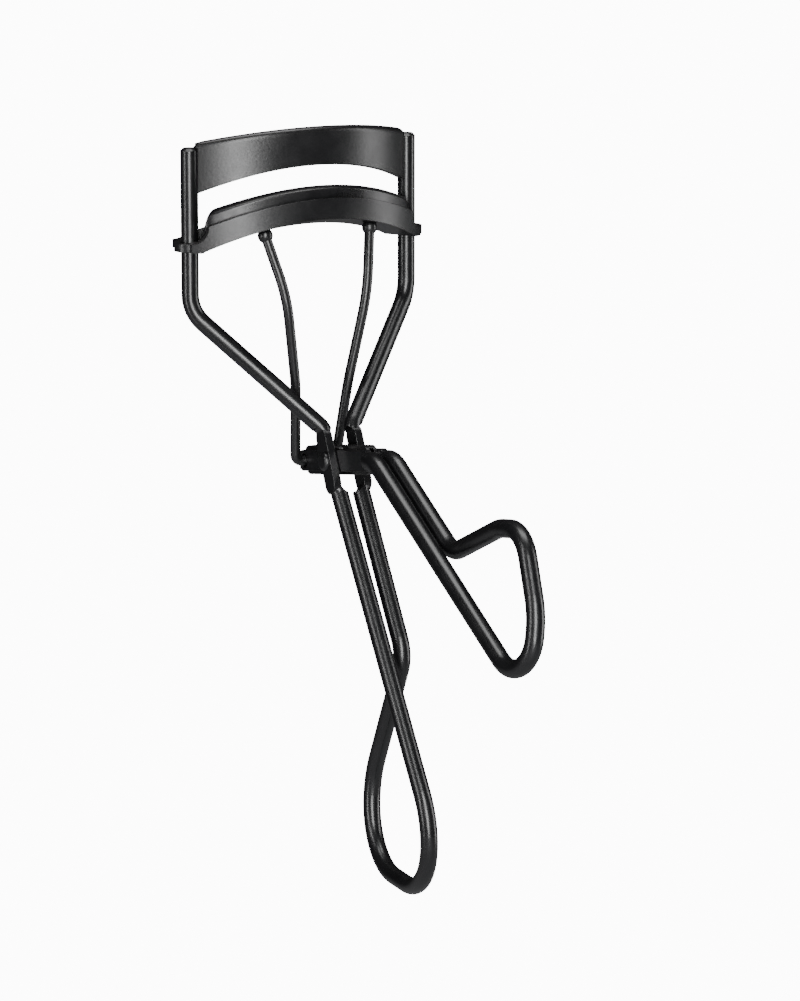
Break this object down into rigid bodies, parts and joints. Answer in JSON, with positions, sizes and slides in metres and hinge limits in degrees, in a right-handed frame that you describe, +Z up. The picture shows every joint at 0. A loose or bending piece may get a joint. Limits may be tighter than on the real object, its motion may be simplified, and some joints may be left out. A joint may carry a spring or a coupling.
{
  "type": "eyelash curler",
  "caption": "Hand-held eyelash curler: a bent-wire frame with a curved upper jaw and a scissor lever that lifts a padded lower jaw on two guide posts.",
  "frame": {"origin": "centre of the fixed finger loop, where the tool is held or hung", "axes": "+Z up along the two guide posts, +X across the jaws to the right, -Y towards the bulging front of the jaws and the lever's finger loop"},
  "size_m": [0.0372, 0.073, 0.1006],
  "materials": {
    "dark_metal": "satin black coating on steel wire and sheet",
    "pad_rubber": "smooth moulded silicone rubber"
  },
  "bodies": {
    "frame": {"frame_wire": "dark_metal", "upper_jaw": "dark_metal", "jaw_weld_left": "dark_metal", "jaw_weld_right": "dark_metal", "pivot_rivet": "dark_metal"},
    "lower_jaw_body": {"lower_jaw": "dark_metal", "pad": "pad_rubber"},
    "lever": {"lever_wire": "dark_metal", "lever_bracket": "dark_metal", "lever_weld_left": "dark_metal", "lever_weld_right": "dark_metal"},
    "link_left": {"link_rod_left": "dark_metal"},
    "link_right": {"link_rod_right": "dark_metal"}
  },
  "joints": [
    {"name": "lever_pivot", "type": "hinge", "parent": "frame", "child": "lever", "pos_m": [0, 0.0166, 0.045], "axis": [1, 0, 0], "range_deg": [-16, 21]},
    {"name": "jaw_slide", "type": "slide", "parent": "frame", "child": "lower_jaw_body", "axis": [0, 0, 1], "range_m": [-0.00245, 0.0032]},
    {"name": "link_left_pivot", "type": "hinge", "parent": "lower_jaw_body", "child": "link_left", "pos_m": [-0.0079, 0.0244, 0.07522], "axis": [1, 0, 0], "range_deg": [-0.6, 0.8]},
    {"name": "link_right_pivot", "type": "hinge", "parent": "lower_jaw_body", "child": "link_right", "pos_m": [0.0079, 0.0244, 0.07522], "axis": [1, 0, 0], "range_deg": [-0.6, 0.8]}
  ],
  "couplings": [
    {"joint": "jaw_slide", "follows": "lever_pivot", "m_per_rad": 0.0086},
    {"joint": "link_left_pivot", "follows": "lever_pivot", "ratio": 0.0353},
    {"joint": "link_right_pivot", "follows": "lever_pivot", "ratio": 0.0353}
  ]
}
